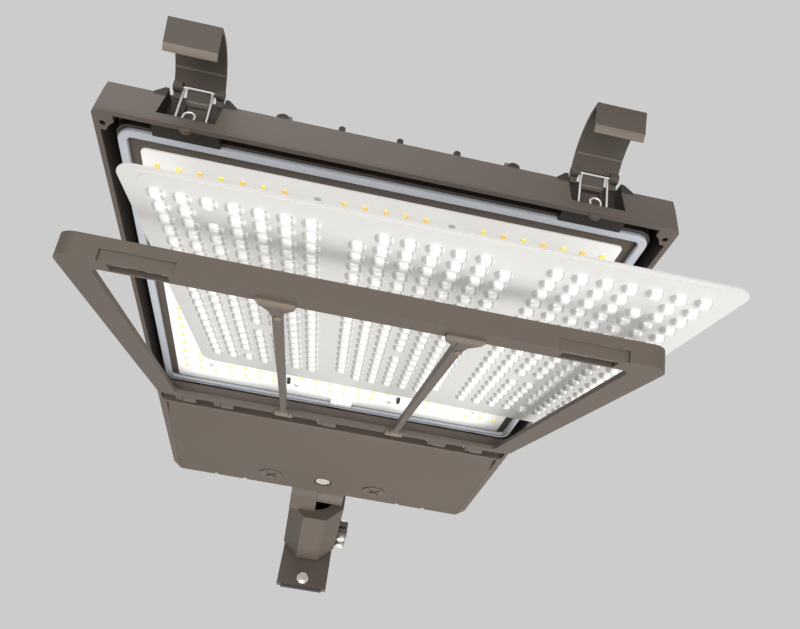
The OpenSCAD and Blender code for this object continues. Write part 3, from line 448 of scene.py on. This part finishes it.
slotFinish = {
    "bronze_paint": "bronze", "dark_bronze": "darkBronze", "bright_steel": "steel", "board_white": "board",
    "led_phosphor": "phosphor", "black_plastic": "black", "white_plastic": "white",
    "gasket_grey": "gasket", "driver_case": "driverCase", "lens_clear": "lens", "black_rubber": "rubber",
}
# pieces that take the darker bronze as painted shade
paintedShadePieces = ("door_frame", "driver_cover", "slipfitter_body", "wall_plate")
dressed = {
    # node: what dresses it, and its further finishes
    "housing": (dressHousing, "paintedRecessShade"),
    "latch_cover_left": (dressLatch, "inside", "paintedLipHighlight"),
    "latch_cover_right": (dressLatch, "inside", "paintedLipHighlight"),
}
edgeWidth = {
    # node: width of its rounded edges in millimetres
    "housing": 0.8, "door_frame": 0.9, "driver_cover": 0.5,
    "latch_cover_left": 0.4, "latch_cover_right": 0.4, "knuckle_arm": 1.2, "slipfitter_body": 1.5,
    "wall_plate": 0.8, "tenon": 0.5, "cover_plugs": 0.4, "cover_screw": 0.4, "wall_bolts": 0.5,
    "wall_washers": 0.25, "pivot_bolt": 0.6, "pivot_nut": 0.5, "pivot_washer": 0.2, "set_bolts": 0.6,
    "set_nuts": 0.5, "board_screws": 0.4, "arm_bolts": 0.5, "led_board": 0.2, "led_driver": 1.0,
    "surge_protector": 1.0, "terminal_block": 0.6, "board_connectors": 0.3, "wire_connector": 0.4,
    "latch_plate_left": 0.2, "latch_plate_right": 0.2, "gasket": 1.6, "driver_screws": 0.3,
}
ownPieces = ("lens_plate", "mullion_left", "mullion_right")


def dressFrame():
    for node in sorted(frame["nodes"]):
        material = finishes["shade" if node in paintedShadePieces else slotFinish[slotOf(node)]]
        if node in edgeWidth:
            bm = copyOf(node)
            soften(bm, edgeWidth[node])
            extra = []
            if node in dressed:
                dress, *extra = dressed[node]
                dress(bm, node)
            newPiece(node, bm, [material] + [finishes[name] for name in extra])
        elif node not in ownPieces:
            mesh = frame["nodes"][node].data
            mesh.materials.clear()
            mesh.materials.append(material)


dressFrame()

print("stage 3: lens plate with its domes")

lensPlate = {
    "place": (35.6, 133.6, -40.9), "turn": (12.6, 1.35, -1.46),
    "half": 195.1, "front": -178, "rear": 198, "corner": 14, "levels": (-0.2, 1),
    "step": 11.5, "stepEnd": 4, "stepLevels": (-1, 0.5),
}
dome = {
    "blocks": 125.6, "pitch": 16, "rows": 20, "columns": 7, "segments": 16,
    # radius and level of each ring, down to the tip
    "profile": ((6.3, -1), (6.05, -2.3), (5.2, -3.6), (3.7, -4.5), (1.9, -4.9), (0, -5)),
    "spotScale": 80,
}
bareSpots = {
    # block: the places (column, row) without a lens, which leave room for screws
    -1: ((2, 1), (3, 13), (4, 13), (2, 18)),
    0: ((0, 0), (6, 0), (3, 13), (0, 19), (6, 19)),
    1: ((4, 1), (3, 13), (2, 13), (4, 18)),
}


def roundedOutline(half, front, rear, corner, turns=8):
    outline = []
    middle = (front + rear) / 2
    for x, y, start in ((half, rear, 0), (-half, rear, 90), (-half, front, 180), (half, front, 270)):
        for i in range(turns + 1):
            a = math.radians(start + 90 * i / turns)
            outline.append((x - math.copysign(corner, x) + corner * math.cos(a),
                            y - math.copysign(corner, y - middle) + corner * math.sin(a)))
    return outline


def makeDome():
    # one lens, open towards the plate
    bm = bmesh.new()
    spot = bm.verts.layers.float_color.new("spot")
    profile = [bm.verts.new((r / 1000, 0, level / 1000)) for r, level in dome["profile"]]
    edges = [bm.edges.new(pair) for pair in zip(profile, profile[1:])]
    bmesh.ops.spin(bm, geom=profile + edges, cent=(0, 0, 0), axis=(0, 0, 1), angle=math.tau,
                   steps=dome["segments"], use_merge=True)
    bmesh.ops.remove_doubles(bm, verts=bm.verts, dist=0.000001)
    bmesh.ops.recalc_face_normals(bm, faces=bm.faces)
    for vert in bm.verts:
        vert[spot] = (0.5 + dome["spotScale"] * vert.co.x, 0.5 + dome["spotScale"] * vert.co.y, 1, 1)
    mesh = bpy.data.meshes.new("dome")
    bm.to_mesh(mesh)
    bm.free()
    return mesh


def makeLensPlate():
    bm = bmesh.new()
    spot = bm.verts.layers.float_color.new("spot")
    p = lensPlate
    drawOut(bm, roundedOutline(p["half"], p["front"], p["rear"], p["corner"]), *p["levels"])
    drawOut(bm, roundedOutline(p["half"] - p["step"], p["front"] + p["stepEnd"], p["rear"] - p["stepEnd"],
                               p["corner"]), *p["stepLevels"])
    for vert in bm.verts:
        vert[spot] = (0.5, 0.5, 0, 1)
    lens = makeDome()
    here = Vector()
    for block, bare in bareSpots.items():
        for column in range(dome["columns"]):
            for row in range(dome["rows"]):
                if (column, row) not in bare:
                    there = Vector((block * dome["blocks"] + (column - 3) * dome["pitch"],
                                    (row - 9.5) * dome["pitch"], 0)) / 1000
                    lens.transform(Matrix.Translation(there - here))
                    bm.from_mesh(lens)
                    here = there
    bpy.data.meshes.remove(lens)
    place = Matrix.Translation(at(*p["place"])) @ turned(*p["turn"]).to_matrix().to_4x4()
    bmesh.ops.transform(bm, matrix=place, verts=bm.verts)
    newPiece("lens_plate", bm, [finishes["lens"]], 50)


makeLensPlate()

print("stage 4: mullions with clips and feet")

doorOpen = {"hinge": (0, 406, -5), "angle": 14.2}
mullion = {
    # x of the two mullions, and all levels from the door's face
    "x": {"mullion_left": -60.8, "mullion_right": 64.8}, "face": -9,
    "bar": [(-3.4, 22), (3.4, 22), (2.9, 379), (-2.9, 379)],
    "flare": [(12.6, 17), (13, 24), (11.6, 29.5), (8.8, 33), (6, 36.5), (4.6, 41), (3.4, 50)],
    "clip": [(-13, 17.2), (13, 17.2), (11, 23.5), (-11, 23.5)],
    "ribs": (18.6, 21.2),
    "foot": [(9.5, 375), (10.5, 378), (10, 383.5), (7, 386), (-7, 386), (-10, 383.5), (-10.5, 378), (-9.5, 375)],
    "collar": [(-4.4, 366), (4.4, 366), (5.6, 377), (-5.6, 377)],
    "knob": (1.2, 46, 2.6, 3.2),
}


def makeMullion(node):
    m = mullion
    x, y, across, along = m["knob"]
    turns = [math.tau * i / 16 for i in range(16)]
    layers = [
        # outline, its lowest and highest level from the face, its tone; tone 1 is the lighter bronze of the
        # painted highlight
        (m["bar"], -2.4, 5, 0),
        (m["flare"] + [(-x, y) for x, y in reversed(m["flare"])], -1.8, 1.5, 0),
        (m["clip"], -3.6, -1, 1),
        (m["foot"], -3.2, 0, 1),
        (m["collar"], -3.6, 1, 1),
        ([(x + across * math.cos(a), y + along * math.sin(a)) for a in turns], -3.6, -1, 1),
    ]
    for y in m["ribs"]:
        layers.append(([(-11.4, y - 0.6), (11.4, y - 0.6), (11, y + 0.6), (-11, y + 0.6)], -4.2, -3, 1))
    bm = bmesh.new()
    for outline, low, high, tone in layers:
        drawOut(bm, outline, m["face"] + low, m["face"] + high, tone)
    hinge = Matrix.Translation(at(*doorOpen["hinge"]))
    shut = Matrix.Translation(-Vector(doorOpen["hinge"]) / 1000 + Vector((m["x"][node] / 1000, 0, 0)))
    place = hinge @ turned(doorOpen["angle"], 0, 0).to_matrix().to_4x4() @ shut
    bmesh.ops.transform(bm, matrix=place, verts=bm.verts)
    # the clips, feet, collars, knobs and ribs take the lighter bronze as a painted highlight
    newPiece(node, bm, [finishes["bronze"], finishes["paintedHighlight"]])


for node in mullion["x"]:
    makeMullion(node)
